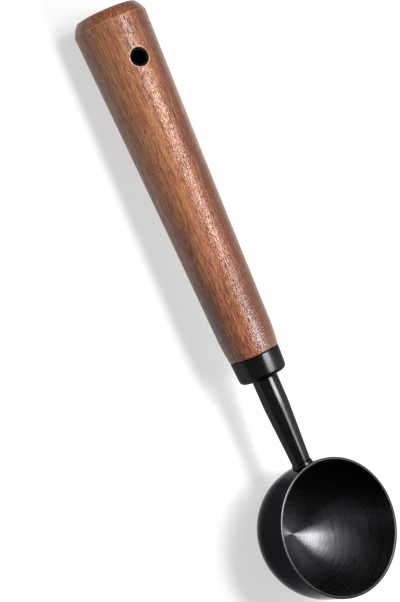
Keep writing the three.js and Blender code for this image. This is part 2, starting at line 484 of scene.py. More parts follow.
@dataclass(frozen=True)
class BlackSteel(Finish):
    """Steel under a thin black coat, which keeps the marks of the bare metal.

    The coat is taken for a hard metal-like film, because those marks show through it: it mirrors
    its surroundings darkly, and only lamps show in it as white.

    Attributes:
        colours: Darkest and lightest tone of the coat, seen square on.
        edge_tint: Tone that the reflection keeps near the outline.
        roughness: Least and greatest roughness.
        marks: Which way the marks run.
        mark_width: Width of the marks; drawn coarser than real ones so that they show.
        mark_depth: Depth of the marks.
        mark_share: Share of the marks in the changes of tone; smudges make up the rest.
        strokes: How often a mark that runs round the axis breaks off in one turn.
        stretch: How strongly the marks draw the highlight out across themselves, from 0 to 1.
    """

    colours: tuple[str, str] = ("#252526", "#2c2c2d")
    edge_tint: str = "#c8c8c9"
    roughness: tuple[float, float] = (0.16, 0.24)
    marks: Marks = Marks.ROUND
    mark_width: float = 0.3
    mark_depth: float = 0.002
    mark_share: float = 0.35
    strokes: float = 3.0
    stretch: float = 0.0

    SMUDGE = 9.0            # size of the patches in which handling dulls the coat
    WEAR = (0.35, 0.65)     # levels of the noise between which tone and roughness run
    DRAWN_OUT = 60          # how many times its width a lengthwise mark is long
    ACROSS = 0.25           # share of a turn from the marks to the way they stretch a highlight

    def shader(self, tree: bpy.types.NodeTree) -> bpy.types.Node:
        """Adds the nodes of the finish and returns its shader."""
        own = add_node(tree, "Attribute", {"attribute_name": OWN_AXES}).outputs["Vector"]
        lines = self.mark_pattern(tree, own)
        smudges = add_node(tree, "TexNoise", inputs={
            "Vector": own, "Scale": per_mm(self.SMUDGE), "Detail": 3.0,
        }).outputs["Fac"]
        wear = add_node(tree, "Mix", inputs={
            0: self.mark_share, 2: smudges, 3: lines,
        }).outputs[0]
        colour = add_node(tree, "ValToRGB", inputs={"Fac": wear}, stops=[
            *zip(self.WEAR, self.colours),
        ]).outputs["Color"]
        roughness = add_node(tree, "MapRange", inputs={
            "Value": wear, "From Min": self.WEAR[0], "From Max": self.WEAR[1],
            "To Min": self.roughness[0], "To Max": self.roughness[1],
        }).outputs["Result"]
        bump = add_node(tree, "Bump", inputs={
            "Height": lines, "Distance": self.mark_depth * MM, "Strength": 1.0,
        }).outputs["Normal"]
        inputs = {
            "Base Color": colour, "Metallic": 1.0, "Roughness": roughness,
            "Specular Tint": linear(self.edge_tint), "Normal": bump,
        }
        if self.stretch:
            tangent = add_node(tree, "Tangent", {
                "direction_type": "UV_MAP", "uv_map": AROUND,
            }).outputs[0]
            inputs |= {
                "Anisotropic": self.stretch, "Anisotropic Rotation": self.ACROSS,
                "Tangent": tangent,
            }
        return add_node(tree, "BsdfPrincipled", inputs=inputs)

    def mark_pattern(
        self, tree: bpy.types.NodeTree, own: bpy.types.NodeSocket
    ) -> bpy.types.NodeSocket:
        """Adds the marks of working the metal.

        Args:
            tree: Node tree of the material.
            own: Place in the piece's own axes.

        Returns:
            Height of the marks, from 0 to 1.
        """
        scale = per_mm(self.mark_width)
        if self.marks is Marks.LENGTHWISE:
            fine = add_node(tree, "Mapping", inputs={
                "Vector": own, "Scale": (scale, scale, scale / self.DRAWN_OUT),
            }).outputs[0]
            return add_node(tree, "TexNoise", inputs={
                "Vector": fine, "Scale": 1.0, "Detail": 2.0,
            }).outputs["Fac"]
        parts = add_node(tree, "SeparateXYZ", inputs={0: own}).outputs
        flat = add_node(tree, "CombineXYZ", inputs={0: parts[0], 1: parts[1]}).outputs[0]
        radius = add_node(tree, "VectorMath", {"operation": "LENGTH"}, {0: flat}).outputs["Value"]
        travel = add_node(tree, "Math", {"operation": "ADD"}, {0: radius, 1: parts[2]}).outputs[0]
        line = add_node(tree, "Math", {"operation": "MULTIPLY"}, {0: travel, 1: scale}).outputs[0]
        round_axis = add_node(tree, "VectorMath", {"operation": "NORMALIZE"}, {0: flat}).outputs[0]
        broken = add_node(tree, "VectorMath", {"operation": "SCALE"}, {
            0: round_axis, "Scale": self.strokes / (2 * math.pi),
        }).outputs[0]
        upright = add_node(tree, "CombineXYZ", inputs={2: line}).outputs[0]
        place = add_node(tree, "VectorMath", {"operation": "ADD"}, {
            0: broken, 1: upright,
        }).outputs[0]
        return add_node(tree, "TexNoise", inputs={
            "Vector": place, "Scale": 1.0, "Detail": 2.0, "Roughness": 0.6,
        }).outputs["Fac"]


@dataclass(frozen=True)
class OiledHardwood(Finish):
    """Straight-grained reddish hardwood, turned, sanded and oiled.

    The oil lets the stripes of the grain show and leaves a satin sheen, broken by open pores that
    run as short dark dashes along the handle.

    Attributes:
        tones: Colours from the darkest stripe to the lightest.
        pore: Colour inside the pores.
        stripe: Width and length of the broad stripes.
        streak: Width and length of the streaks inside them.
        fibre: Width and length of the fibres; drawn coarser than real ones so that they show.
        pores: Spacing of the pores across and along the grain.
        roughness: Least and greatest roughness between the pores.
        raised: Width and length of the grain that the oil raised, whose slopes break the highlight
            into glints; drawn coarser than real so that they show.
        relief: Height of that grain.
        painted_light_line: Place across the handle of the line where painted light makes the wood
            lightest.
        painted_side_shade: How far painted shade lowers the tone at one radius of the handle from
            that line, towards the outline and under the highlight.
        painted_foot_shade_span: Stations along the handle between which the painted shade at its
            foot, by the ferrule, fades out.
        painted_foot_shade: How far that painted shade lowers the tone.
    """

    RADIUS = 12.0                  # of the handle
    SHARES = (0.37, 0.27, 0.36)    # of stripes, streaks and fibres in the figure
    RAMP_START = 0.328             # level of the figure at the darkest tone
    RAMP_SPAN = 0.3                # from there to the lightest tone
    FIBRE_RANGE = (0.3, 0.7)       # levels of the fibres between which the roughness runs
    PORE_EDGE = (0.16, 0.4)        # of its cell, from where a pore thins out to where it ends
    PORE_DULL = 0.4                # roughness that a pore adds
    PORE_DEPTH = 0.7               # in heights of the raised grain

    tones: tuple[str, ...] = ("#5c3425", "#864f36", "#a66c4a", "#ba8256", "#c59368")
    pore: str = "#4a2b1d"
    stripe: tuple[float, float] = (7.0, 120.0)
    streak: tuple[float, float] = (0.6, 14.0)
    fibre: tuple[float, float] = (0.24, 2.4)
    pores: tuple[float, float] = (0.48, 2.1)
    roughness: tuple[float, float] = (0.13, 0.25)
    raised: tuple[float, float] = (0.42, 1.1)
    relief: float = 0.125
    painted_light_line: float = -4.5
    painted_side_shade: float = 0.13
    painted_foot_shade_span: tuple[float, float] = (38.0, 115.0)
    painted_foot_shade: float = 0.15

    def grain(
        self, tree: bpy.types.NodeTree, own: bpy.types.NodeSocket, size: tuple[float, float]
    ) -> bpy.types.NodeSocket:
        """Adds noise that is drawn out along the handle.

        Args:
            tree: Node tree of the material.
            own: Place in the handle's own axes.
            size: Width and length of the grain.

        Returns:
            The noise, from 0 to 1.
        """
        across, along = per_mm(size[0]), per_mm(size[1])
        drawn = add_node(tree, "Mapping", inputs={
            "Vector": own, "Scale": (across, across, along),
        }).outputs[0]
        return add_node(tree, "TexNoise", inputs={
            "Vector": drawn, "Scale": 1.0, "Detail": 2.5, "Distortion": 0.4,
        }).outputs["Fac"]

    def shader(self, tree: bpy.types.NodeTree) -> bpy.types.Node:
        """Adds the nodes of the finish and returns its shader."""
        own = add_node(tree, "Attribute", {"attribute_name": OWN_AXES}).outputs["Vector"]
        stripes = self.grain(tree, own, self.stripe)
        streaks = self.grain(tree, own, self.streak)
        fibres = self.grain(tree, own, self.fibre)
        _, across, along = add_node(tree, "SeparateXYZ", inputs={0: own}).outputs
        # Painted shade: the tone falls towards the handle's foot by the ferrule, where the neck's
        # lamps light it strongly
        foot = add_node(tree, "MapRange", {"interpolation_type": "SMOOTHSTEP"}, {
            "Value": along, "From Min": self.painted_foot_shade_span[0] * MM, "From Max": self.painted_foot_shade_span[1] * MM,
            "To Min": -self.painted_foot_shade, "To Max": 0.0,
        }).outputs["Result"]
        # Painted light and shade: the tone is highest along one line of the handle and falls off
        # to both sides of it
        away = add_node(tree, "Math", {"operation": "MULTIPLY_ADD"}, {
            0: across, 1: per_mm(self.RADIUS), 2: -self.painted_light_line / self.RADIUS,
        }).outputs[0]
        from_painted_light = add_node(tree, "Math", {"operation": "ABSOLUTE"}, {0: away}).outputs[0]
        figure = add_node(tree, "Math", {"operation": "MULTIPLY_ADD"}, {
            0: from_painted_light, 1: -self.painted_side_shade, 2: foot,
        }).outputs[0]
        for noise, share in zip((stripes, streaks, fibres), self.SHARES):
            figure = add_node(tree, "Math", {"operation": "MULTIPLY_ADD"}, {
                0: noise, 1: share, 2: figure,
            }).outputs[0]
        last = len(self.tones) - 1
        colour = add_node(tree, "ValToRGB", inputs={"Fac": figure}, stops=[
            (self.RAMP_START + self.RAMP_SPAN * number / last, tone)
            for number, tone in enumerate(self.tones)
        ]).outputs["Color"]
        pore = self.pore_pattern(tree, own)
        stained = add_node(tree, "Mix", {"data_type": "RGBA"}, {
            "Factor": pore, 6: colour, 7: linear(self.pore),
        }).outputs[2]
        roughness = add_node(tree, "MapRange", inputs={
            "Value": fibres, "From Min": self.FIBRE_RANGE[0], "From Max": self.FIBRE_RANGE[1],
            "To Min": self.roughness[0], "To Max": self.roughness[1],
        }).outputs["Result"]
        dulled = add_node(tree, "Math", {"operation": "MULTIPLY_ADD"}, {
            0: pore, 1: self.PORE_DULL, 2: roughness,
        }).outputs[0]
        height = add_node(tree, "Math", {"operation": "MULTIPLY_ADD"}, {
            0: pore, 1: -self.PORE_DEPTH, 2: self.grain(tree, own, self.raised),
        }).outputs[0]
        bump = add_node(tree, "Bump", inputs={
            "Height": height, "Distance": self.relief * MM, "Strength": 1.0,
        }).outputs["Normal"]
        return add_node(tree, "BsdfPrincipled", inputs={
            "Base Color": stained, "Roughness": dulled, "Specular IOR Level": 0.4,
            "Normal": bump,
        })

    def pore_pattern(
        self, tree: bpy.types.NodeTree, own: bpy.types.NodeSocket
    ) -> bpy.types.NodeSocket:
        """Adds the open pores.

        Args:
            tree: Node tree of the material.
            own: Place in the handle's own axes.

        Returns:
            1 inside a pore and 0 outside.
        """
        across, along = per_mm(self.pores[0]), per_mm(self.pores[1])
        cells = add_node(tree, "Mapping", inputs={
            "Vector": own, "Scale": (across, across, along),
        }).outputs[0]
        pores = add_node(tree, "TexVoronoi", inputs={"Vector": cells, "Scale": 1.0})
        inside = add_node(tree, "MapRange", inputs={
            "Value": pores.outputs["Distance"],
            "From Min": self.PORE_EDGE[0], "From Max": self.PORE_EDGE[1],
            "To Min": 1.0, "To Max": 0.0,
        }).outputs["Result"]
        kept = add_node(tree, "SeparateColor", inputs={0: pores.outputs["Color"]}).outputs[0]
        return add_node(tree, "Math", {"operation": "MULTIPLY"}, {0: inside, 1: kept}).outputs[0]


@dataclass(frozen=True)
class ZincPlate(Finish):
    """Steel with a bright zinc plating: a pale bluish metal with a faint crystal mottling.

    Attributes:
        tones: Darkest and lightest tone of the plating.
        mottle: Size of the crystals; drawn coarser than real ones so that they show.
        roughness: Least and greatest roughness.
    """

    tones: tuple[str, str] = ("#a9adb1", "#c9ccd0")
    mottle: float = 0.6
    roughness: tuple[float, float] = (0.28, 0.44)

    LEVELS = (0.3, 0.7)     # of the noise, between which the tone runs

    def shader(self, tree: bpy.types.NodeTree) -> bpy.types.Node:
        """Adds the nodes of the finish and returns its shader."""
        own = add_node(tree, "Attribute", {"attribute_name": OWN_AXES}).outputs["Vector"]
        crystals = add_node(tree, "TexNoise", inputs={
            "Vector": own, "Scale": per_mm(self.mottle), "Detail": 2.0,
        }).outputs["Fac"]
        colour = add_node(tree, "ValToRGB", inputs={"Fac": crystals}, stops=[
            *zip(self.LEVELS, self.tones),
        ]).outputs["Color"]
        roughness = add_node(tree, "MapRange", inputs={
            "Value": crystals, "To Min": self.roughness[0], "To Max": self.roughness[1],
        }).outputs["Result"]
        return add_node(tree, "BsdfPrincipled", inputs={
            "Base Color": colour, "Metallic": 1.0, "Roughness": roughness,
        })


@dataclass
class ScoopBowl:
    """The spun bowl: a straight collar over a full round bottom, with a flat eased rim.

    Attributes:
        axis: Axis of the bowl.
        wall: Thickness of the sheet.
        collar: Height of the straight collar.
        fullness: Power of the round bottom's curve; 2 would be an ellipse.
        rim_ease: Length cut from each side of the rim's edges.
        facets: Facets in a full turn.
        steps: Steps of the round bottom.
    """

    axis: Axis
    wall: float = 0.9
    collar: float = 7.1
    fullness: float = 2.2
    rim_ease: float = 0.22
    facets: int = 192
    steps: int = 44

    # Polished before coating: an almost black mirror, pale only towards its outline
    OUTSIDE = BlackSteel(
        "black-coated spun steel, polished", colours=("#121213", "#18181a"), edge_tint="#c2c2c4",
        roughness=(0.05, 0.1), mark_width=0.5, mark_depth=0.0008,
    )
    # Brushed in circles before coating: a lamp spreads into a bright fan across the strokes
    INSIDE = BlackSteel(
        "black-coated spun steel, brushed in circles", colours=("#343437", "#454549"),
        roughness=(0.25, 0.3), mark_width=0.34, mark_depth=0.004, mark_share=0.85, strokes=16.0,
        stretch=1.0,
    )
    # Ground before coating: a thin grey line all round the bowl
    RIM = BlackSteel(
        "black-coated spun steel, ground edge", colours=("#2d2d2f", "#38383a"),
        roughness=(0.2, 0.3), mark_width=0.2, mark_depth=0.0008,
    )

    def side(self, inset: float) -> Profile:
        """Draws the round side from the lowest point up to the collar.

        Args:
            inset: Distance inside the outer surface.

        Returns:
            Radius and height of each point.
        """
        foot, _ = self.axis.stations("scoop_bowl")
        radius = self.axis.reach("scoop_bowl") - inset
        depth = -foot - self.collar - inset
        power = 2 / self.fullness
        angles = [math.pi / 2 * step / self.steps for step in range(self.steps + 1)]
        points = [
            (radius * math.sin(a) ** power, -self.collar - depth * abs(math.cos(a)) ** power)
            for a in angles
        ]
        return [(0.0, points[0][1]), *points[1:]]

    def build(self) -> bpy.types.Object:
        """Makes the bowl and dresses it, polished outside and brushed inside."""
        outer = self.axis.reach("scoop_bowl")
        inner = outer - self.wall
        middle = (outer + inner) / 2, 0.0
        outside = self.side(0)
        inside = self.side(self.wall)[::-1]
        hold = -self.rim_ease - HOLD
        outside.append((outer, hold))
        inside.insert(0, (inner, hold))
        rim = [
            *eased((outer, 0.0), outside[-1], middle, self.rim_ease),
            *eased((inner, 0.0), middle, inside[0], self.rim_ease),
        ]
        turned = len(outside) + len(rim) - 2
        shape = revolve(
            [*outside, *rim, *inside], self.facets,
            lambda row: 1 if row > turned else 2 if row >= len(outside) else 0,
        )
        return make_piece(
            shape, "bowl_shell", "scoop_bowl", self.axis,
            [self.OUTSIDE, self.INSIDE, self.RIM],
        )


@dataclass
class Neck:
    """The turned neck, coped to the bowl's wall at its foot and bored for the bolt at its top.

    Attributes:
        axis: Axis of the handle.
        bowl: Axis of the bowl.
        foot_diameter: Diameter at the bowl.
        straight: Length of the straight part under the ferrule.
        waist_ease: Length over which taper and straight part turn into each other.
        edge: Length cut from each side of the top edge.
        bore_gap: Clearance round the bolt.
        drill_half_angle: Half the angle at the bottom of the bore.
        facets: Facets in a full turn.
        steps: Steps of the taper.
        waist_steps: Steps of the turn at the waist.
    """

    axis: Axis
    bowl: Axis
    foot_diameter: float = 6.15
    straight: float = 9.3
    waist_ease: float = 2.5
    edge: float = 0.25
    bore_gap: float = 0.3
    drill_half_angle: float = math.radians(59)
    facets: int = 96
    steps: int = 24
    waist_steps: int = 10

    FOOT_RINGS = (0.35, 0.7)    # radii of the rings across the coped foot, in its own radius

    # Polished along its length: a soft white line with grey beside it
    FINISH = BlackSteel(
        "black-coated turned steel, polished lengthwise", roughness=(0.16, 0.22),
        marks=Marks.LENGTHWISE, mark_width=0.2, mark_depth=0.0006,
    )

    def side(self, foot: tuple[float, float], waist: tuple[float, float]) -> Profile:
        """Draws the tapered side and its eased turn into the straight part.

        Args:
            foot: Radius and height at which the side starts.
            waist: Radius and height at which taper and straight part would meet.

        Returns:
            Radius and height of each point, from the foot up.
        """
        above = (waist[0], waist[1] + self.waist_ease)
        turn = eased(waist, foot, above, self.waist_ease, self.waist_steps)
        start = Vector(foot)
        step = (Vector(turn[0]) - start) / self.steps
        return [*(tuple(start + step * number) for number in range(self.steps)), *turn]

    def build(self) -> bpy.types.Object:
        """Makes the neck and dresses it."""
        top = self.axis.stations("neck")[1]
        radius = self.axis.reach("neck")
        foot = self.foot_diameter / 2
        bore = self.axis.reach("hanger_bolt") + self.bore_gap
        bore_foot = self.axis.stations("hanger_bolt")[0] - self.bore_gap
        waist = top - self.straight
        shape = Shape()
        turns = full_turn(self.facets)
        saddle = [wall_station(self.bowl, self.axis, foot, turn) for turn in turns]
        rings = [shape.ring([(0, 0, wall_station(self.bowl, self.axis, 0, 0))])]
        for share in self.FOOT_RINGS:
            rings.append(shape.ring(
                polar(share * foot, turn, wall_station(self.bowl, self.axis, share * foot, turn))
                for turn in turns
            ))
        sides = [self.side((foot, station), (radius, waist)) for station in saddle]
        for row in zip(*sides):
            rings.append(shape.ring(
                polar(around, turn, height) for turn, (around, height) in zip(turns, row)
            ))
        rest = [
            (radius, waist + self.straight / 2),
            (radius, top - self.edge - HOLD),
            *eased((radius, top), (radius, waist), (bore, top), self.edge),
            (bore, top),
            (bore, bore_foot),
            (0.0, bore_foot - bore / math.tan(self.drill_half_angle)),
        ]
        rings += [shape.circle(around, height, turns) for around, height in rest]
        for first, second in zip(rings, rings[1:]):
            shape.band(first, second)
        return make_piece(shape, "neck_bar", "neck", self.axis, [self.FINISH])


@dataclass
class WeldBead:
    """The bead of weld round the neck's foot, rippled where the pool of metal froze.

    Attributes:
        axis: Axis of the handle.
        bowl: Axis of the bowl.
        neck: The neck that it holds.
        leg: How far the bead climbs the neck.
        toe: How far it spreads over the bowl's wall.
        crown: How far its face is drawn out, as a share of its throat.
        sunk: How far its root lies inside neck and wall.
        ripples: Number of ripples round it.
        ripple_height: Height of the ripples.
        facets: Facets in a full turn.
        steps: Steps across its face.
    """

    axis: Axis
    bowl: Axis
    neck: Neck
    leg: float = 1.5
    toe: float = 0.5
    crown: float = 0.35
    sunk: float = 0.15
    ripples: int = 26
    ripple_height: float = 0.08
    facets: int = 208
    steps: int = 8

    # Coated as it froze: small broken glints
    FINISH = BlackSteel(
        "black-coated weld metal, as laid", colours=("#1d1d1e", "#272728"),
        roughness=(0.16, 0.28), mark_width=0.4, mark_depth=0.01,
    )

    def build(self) -> bpy.types.Object:
        """Makes the bead and dresses it."""
        top = self.axis.stations("neck")[1] - self.neck.straight
        foot = self.neck.foot_diameter / 2
        slope = (self.axis.reach("neck") - foot) / top
        shape = Shape()
        loops = []
        for turn in full_turn(self.facets):
            swell = self.ripple_height * abs(math.sin(self.ripples * turn / 2))
            wall = wall_station(self.bowl, self.axis, foot, turn)
            root = (foot - self.sunk, wall - self.sunk)
            neck_toe = (foot - self.sunk / 2 + slope * self.leg, wall + self.leg)
            outer = foot + self.toe
            wall_toe = (
                outer, wall_station(self.bowl, self.axis, outer, turn) - self.sunk / 2
            )
            middle = (Vector(neck_toe) + Vector(wall_toe)) / 2
            pull = middle + (middle - Vector(root)) * self.crown
            pull += (middle - Vector(root)).normalized() * swell
            section = [root, *bend(neck_toe, tuple(pull), wall_toe, self.steps)]
            loops.append(shape.ring(
                polar(radius, turn, height) for radius, height in section
            ))
        for first, second in zip(loops, loops[1:] + loops[:1]):
            shape.band(first, second)
        return make_piece(shape, "weld_bead", "neck_weld", self.axis, [self.FINISH])


@dataclass
class Ferrule:
    """The drawn cup over the foot of the wood, with a rolled lower edge.

    Attributes:
        axis: Axis of the handle.
        foot_diameter: Diameter at the lower end.
        wall: Thickness of the side.
        base: Thickness of the bottom.
        edge: Length over which the lower edge is rolled.
        lip: Length cut from each side of the upper edge.
        bore_gap: Clearance round the bolt.
        facets: Facets in a full turn.
        edge_steps: Steps of the lower edge.
    """

    axis: Axis
    foot_diameter: float = 15.8
    wall: float = 1.0
    base: float = 1.2
    edge: float = 1.7
    lip: float = 0.2
    bore_gap: float = 0.3
    facets: int = 160
    edge_steps: int = 10

    # Drawn and left satin: a broad soft highlight
    FINISH = BlackSteel(
        "black-coated drawn steel, satin", roughness=(0.22, 0.3), mark_width=0.35,
        mark_depth=0.0006,
    )

    def build(self) -> bpy.types.Object:
        """Makes the ferrule and dresses it."""
        low, high = self.axis.stations("ferrule")
        top = self.axis.reach("ferrule")
        foot = self.foot_diameter / 2
        bore = self.axis.reach("hanger_bolt") + self.bore_gap
        edge_top = foot + (top - foot) * self.edge / (high - low), low + self.edge
        floor = low + self.base
        inner_foot = foot + (top - foot) * self.base / (high - low) - self.wall
        profile = [
            (bore, low),
            *bend((foot - self.edge, low), (foot, low), edge_top, self.edge_steps),
            *eased((top, high), edge_top, (top - self.wall, high), self.lip + HOLD, 1)[:1],
            *eased((top, high), edge_top, (top - self.wall, high), self.lip),
            (top - self.wall, high),
            (inner_foot, floor),
            (bore, floor),
        ]
        shape = revolve(profile, self.facets, closed=True)
        return make_piece(
            shape, "ferrule_cup", "ferrule", self.axis, [self.FINISH]
        )


@dataclass
class WoodHandle:
    """The turned handle, with a tenon for the ferrule and the hanging hole across its end.

    Attributes:
        axis: Axis of the handle.
        hole: Axis of the hanging hole.
        ferrule: The ferrule that its tenon fits.
        gap: Clearance to ferrule, bolt and sleeve.
        shoulder_length: Length of the rounded shoulder over the ferrule.
        shoulder_diameter: Diameter at the top of the shoulder.
        hollow: How far the long side is hollowed halfway.
        chamfer_length: Length of the end's chamfer along the handle.
        chamfer_depth: How far the chamfer narrows the end.
        chamfer_crown: How far the chamfer bulges.
        edge: Length cut from each side of the chamfer's edges.
        hole_ease: Length cut from each side of the hole's edge.
        facets: Facets in a full turn.
        patch: Cells from the middle of the square round the hole to its side.
        mouth_steps: Rings between that square and the hole's edge.
        row_length: Wanted length of the rows along the side.
        curve_steps: Steps of the shoulder and of the chamfer.
        lip_steps: Steps of the hole's edge.
    """

    axis: Axis
    hole: Axis
    ferrule: Ferrule
    gap: float = 0.3
    shoulder_length: float = 9.0
    shoulder_diameter: float = 18.2
    hollow: float = 0.17
    chamfer_length: float = 3.7
    chamfer_depth: float = 2.1
    chamfer_crown: float = 0.22
    edge: float = 0.16
    hole_ease: float = 0.4
    facets: int = 96
    patch: int = 7
    mouth_steps: int = 6
    row_length: float = 1.6
    curve_steps: int = 12
    lip_steps: int = 5

    BROW_ROWS = 4                   # bands of the rounded edge between side and chamfer
    END_RINGS = (0.75, 0.5, 0.25)   # radii of the rings across the flat end, in its own radius
    SQUARE = 1.65                   # half the square round the hole, in radii of the hole

    # Oiled: warm stripes, and a highlight that the raised grain breaks into glints
    FINISH = OiledHardwood("reddish hardwood, turned and oiled")

    # Painted highlight: paler tones all round the rounded lip of the hanging hole
    PAINTED_LIP_HIGHLIGHT = OiledHardwood(
        "reddish hardwood, hole lip, painted highlight",
        tones=("#8c6248", "#b0846a", "#c39a7e", "#cfab90", "#d9baa0"), pore="#7a563f",
    )

    # Paler tones on the rounded brow between side and chamfer: a thin light line round the end
    BROW = OiledHardwood(
        "reddish hardwood, paler rounded brow",
        tones=("#7a4d38", "#a06b50", "#b98264", "#c89673", "#d2a581"), pore="#5e3a29",
    )

    def __post_init__(self) -> None:
        """Reads the stations and radii that the shape is drawn from."""
        self.foot = self.axis.stations("ferrule")[1] + self.gap
        self.end = self.axis.stations("handle")[1]
        self.widest = self.axis.reach("handle")
        self.shoulder = self.foot + self.shoulder_length
        self.brow = self.end - self.chamfer_length
        self.hole_station = (self.hole.origin - self.axis.origin).dot(self.axis.along)
        self.hole_radius = self.hole.reach("hole_sleeve") + self.gap
        self.own = Axis(self.axis.origin, self.axis.along, self.hole.along)

    def side_radius(self, station: float) -> float:
        """Radius of the long side, a shallow hollow curve between shoulder and brow."""
        along = (station - self.shoulder) / (self.brow - self.shoulder)
        narrow = self.shoulder_diameter / 2
        return narrow + (self.widest - narrow) * along - 4 * self.hollow * along * (1 - along)

    def foot_profile(self) -> Profile:
        """Draws the bolt hole, the tenon and the shoulder that rounds in to the ferrule.

        Returns:
            Radius and height of each point, from the bottom of the hole to the shoulder.
        """
        cup = self.ferrule
        low, high = self.axis.stations("ferrule")
        top, bottom = self.axis.reach("ferrule"), cup.foot_diameter / 2
        tenon = low + cup.base + self.gap
        fit = cup.wall + self.gap
        bolt = self.axis.reach("hanger_bolt") + self.gap
        bolt_top = self.axis.stations("hanger_bolt")[1] + self.gap
        slope = (top - bottom) / (high - low)
        start = self.shoulder_diameter / 2
        lean = (self.side_radius(self.shoulder + 1) - start) * self.shoulder_length / 2
        middle = (self.foot + self.shoulder) / 2
        corner = (top, self.foot)
        curve = bend(corner, (start - lean, middle), (start, self.shoulder), self.curve_steps)
        neck = (top - fit, self.foot)
        return [
            (0.0, bolt_top + bolt),
            (bolt, bolt_top),
            (bolt, tenon),
            (bottom + slope * (tenon - low) - fit, tenon),
            neck,
            *eased(corner, neck, curve[1], self.edge / 2),
            *curve[1:-1],
        ]

    def end_profile(self) -> Profile:
        """Draws the crowned chamfer and the flat end.

        Returns:
            Radius and height of each point, from the brow to the middle of the end.
        """
        flat = self.widest - self.chamfer_depth
        slant = math.hypot(self.chamfer_length, self.chamfer_depth)
        pull = 2 * self.chamfer_crown / slant
        control = (
            self.widest - self.chamfer_depth / 2 + pull * self.chamfer_length,
            self.end - self.chamfer_length / 2 + pull * self.chamfer_depth,
        )
        face = bend((self.widest, self.brow), control, (flat, self.end), self.curve_steps)
        before = (self.side_radius(self.brow - 1), self.brow - 1)
        return [
            *eased(face[0], before, face[2], self.edge, self.BROW_ROWS),
            *face[3:-2],
            *eased(face[-1], face[-3], (0.0, self.end), self.edge),
            (flat - self.edge - HOLD, self.end),
            *((flat * share, self.end) for share in self.END_RINGS),
            (0.0, self.end),
        ]

    def side_rows(self) -> tuple[list[float], int]:
        """Lays out the rows of the long side so that a square of cells surrounds the hole.

        Returns:
            The stations of the rows, and the number of the first row of the square.
        """
        half = self.SQUARE * self.hole_radius
        low, high = self.hole_station - half, self.hole_station + half
        before = max(2, round((low - self.shoulder) / self.row_length))
        after = max(2, round((self.brow - self.edge - high) / self.row_length))
        rows = [*np.linspace(self.shoulder, low, before, endpoint=False)]
        rows += [*np.linspace(low, high, 2 * self.patch + 1)]
        rows += [*np.linspace(high, self.brow - self.edge - HOLD, after)[1:]]
        return [float(row) for row in rows], before

    def build(self) -> bpy.types.Object:
        """Makes the handle and dresses it."""
        shape = Shape()
        turns = full_turn(self.facets)
        stations, first = self.side_rows()
        foot = [shape.circle(*point, turns) for point in self.foot_profile()]
        side = [shape.circle(self.side_radius(station), station, turns) for station in stations]
        end = [shape.circle(*point, turns) for point in self.end_profile()]
        for below, above in zip(foot, foot[1:] + side[:1]):
            shape.band(below, above)
        for row, (below, above) in enumerate(zip(side[-1:] + end, end)):
            shape.band(below, above, 2 if 0 < row <= self.BROW_ROWS else 0)
        half = self.facets // 2
        for row, (below, above) in enumerate(zip(side, side[1:])):
            for facet in range(self.facets):
                near = min(facet % half, half - 1 - facet % half)
                if first <= row < first + 2 * self.patch and near < self.patch:
                    continue
                after = (facet + 1) % self.facets
                shape.face((below[facet], below[after], above[after], above[facet]))
        self.pierce(shape, side[first:first + 2 * self.patch + 1])
        return make_piece(
            shape, "wood_handle", "handle", self.own,
            [self.FINISH, self.PAINTED_LIP_HIGHLIGHT, self.BROW],
        )

    def pierce(self, shape: Shape, rows: list[list[int]]) -> None:
        """Fills the two open squares with rings that lead into the hanging hole.

        Args:
            shape: The handle so far.
            rows: The rows of corners that cross the squares.
        """
        size = self.patch
        square = [(size, across) for across in range(size)]
        square += [(along, size) for along in range(size, -size, -1)]
        square += [(-size, across) for across in range(size, -size, -1)]
        square += [(along, -size) for along in range(-size, size)]
        square += [(size, across) for across in range(-size, 0)]
        mouths = []
        for side in (1, -1):
            turned = 0 if side > 0 else self.facets // 2
            edge = [
                rows[along + size][(turned + side * across) % self.facets]
                for along, across in square
            ]
            rings = [edge, *self.mouth_rings(shape, edge, side)]
            for number, (outer, inner) in enumerate(zip(rings, rings[1:])):
                # The bands of the rounded lip take the paler finish with the painted highlight
                coat = int(number > self.mouth_steps)
                shape.band(*((outer, inner) if side > 0 else (inner, outer)), coat)
            mouths.append(rings[-1])
        shape.band(mouths[0], mouths[1])

    def mouth_rings(self, shape: Shape, edge: list[int], side: int) -> list[list[int]]:
        """Adds the rings between an open square and the wall of the hole.

        Args:
            shape: The handle so far.
            edge: Corners round the square, from the end of the handle through +Y.
            side: 1 for the upper mouth and -1 for the lower one.

        Returns:
            The rings, from the square inwards.
        """
        angles = full_turn(len(edge))
        flare = self.hole_radius + self.hole_ease
        bottom = (self.hole_radius, -self.hole_ease)
        lips = bend((flare, 0.0), (self.hole_radius, 0.0), bottom, self.lip_steps)

        def lip(angle: float, radius: float, drop: float) -> Point:
            """Point of the rounded lip, below the surface of the handle by its drop."""
            station = self.hole_station + radius * math.cos(angle)
            across = radius * math.sin(angle)
            height = math.sqrt(self.side_radius(station) ** 2 - across ** 2) + drop
            return side * height, across, station

        rings = []
        for step in range(1, self.mouth_steps + 1):
            share = step / (self.mouth_steps + 1)
            ring = []
            for corner, angle in zip(edge, angles):
                x, y, z = shape.corners[corner]
                mouth = lip(angle, flare, 0.0)
                station = z + (mouth[2] - z) * share
                start = math.atan2(y, side * x)
                turn = start + (math.atan2(mouth[1], side * mouth[0]) - start) * share
                radius = self.side_radius(station)
                ring.append((side * radius * math.cos(turn), radius * math.sin(turn), station))
            rings.append(shape.ring(ring))
        for radius, drop in lips:
            rings.append(shape.ring(lip(angle, radius, drop) for angle in angles))
        return rings


